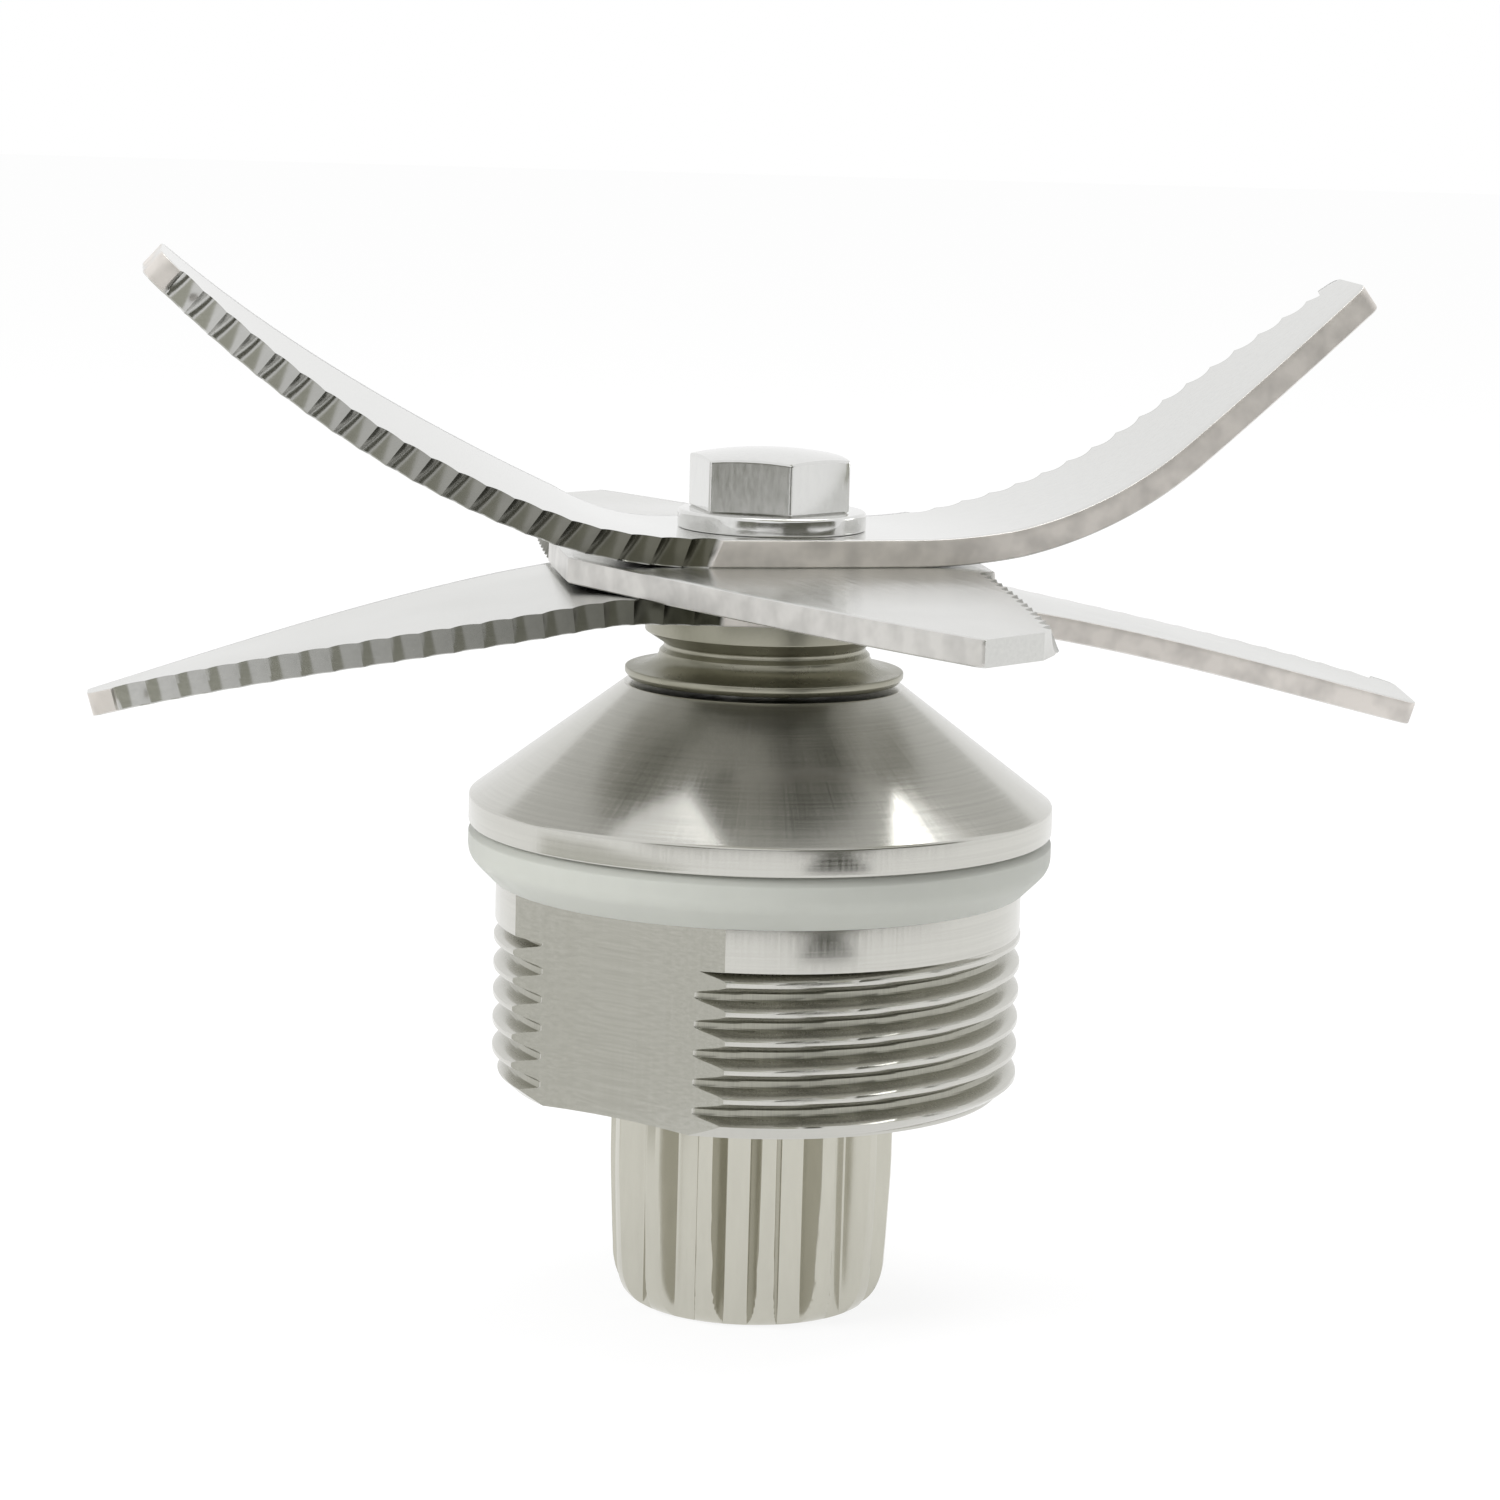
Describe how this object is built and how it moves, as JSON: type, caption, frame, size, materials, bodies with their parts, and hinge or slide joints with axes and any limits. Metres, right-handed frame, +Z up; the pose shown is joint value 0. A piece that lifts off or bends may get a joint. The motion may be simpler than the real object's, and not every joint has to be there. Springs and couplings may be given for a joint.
{
  "type": "blender blade assembly",
  "caption": "Stacked cutter blades on a ball-bearing spindle in a threaded steel housing, with a silicone jar seal above and a splined drive coupling below.",
  "frame": {"origin": "centre of the drive coupling's flat bottom face", "axes": "+Z up along the spindle, towards the blades; the top and bottom blades lie roughly along X, and the picture looks along +Y"},
  "size_m": [0.0938, 0.0852, 0.0745],
  "materials": {
    "polished_steel": "polished stainless steel",
    "blade_steel": "bright ground stainless steel",
    "olive_steel": "warm grey plated steel",
    "turned_steel": "turned stainless steel",
    "bearing_steel": "ground bearing steel",
    "spring_steel": "dark phosphated spring steel",
    "silicone": "translucent white silicone",
    "black_rubber": "black nitrile rubber",
    "nylon": "natural nylon"
  },
  "bodies": {
    "housing": {"bearing_housing": "turned_steel", "jar_seal": "silicone", "lip_seal": "black_rubber", "garter_spring": "spring_steel", "upper_outer_race": "bearing_steel", "upper_top_shield": "turned_steel", "upper_bottom_shield": "turned_steel", "lower_outer_race": "bearing_steel", "lower_top_shield": "turned_steel", "lower_bottom_shield": "turned_steel", "outer_spacer": "turned_steel", "housing_circlip": "spring_steel"},
    "spindle": {"drive_shaft": "polished_steel", "hex_bolt": "polished_steel", "bolt_washer": "polished_steel", "top_blade": "blade_steel", "middle_blade": "blade_steel", "bottom_blade": "blade_steel", "slinger": "olive_steel", "upper_inner_race": "bearing_steel", "lower_inner_race": "bearing_steel", "inner_spacer": "turned_steel", "upper_shaft_circlip": "spring_steel", "lower_shaft_circlip": "spring_steel", "drive_coupling": "olive_steel"},
    "upper_ball_train": {"upper_balls": "bearing_steel", "upper_ball_cage": "nylon"},
    "lower_ball_train": {"lower_balls": "bearing_steel", "lower_ball_cage": "nylon"}
  },
  "joints": [
    {"name": "spindle_spin", "type": "hinge", "parent": "housing", "child": "spindle", "pos_m": [0, 0, 0.027], "axis": [0, 0, 1], "continuous": true},
    {"name": "upper_cage_spin", "type": "hinge", "parent": "housing", "child": "upper_ball_train", "pos_m": [0, 0, 0.0315], "axis": [0, 0, 1], "continuous": true},
    {"name": "lower_cage_spin", "type": "hinge", "parent": "housing", "child": "lower_ball_train", "pos_m": [0, 0, 0.0225], "axis": [0, 0, 1], "continuous": true}
  ],
  "couplings": [
    {"joint": "upper_cage_spin", "follows": "spindle_spin", "ratio": 0.3678},
    {"joint": "lower_cage_spin", "follows": "spindle_spin", "ratio": 0.3678}
  ]
}
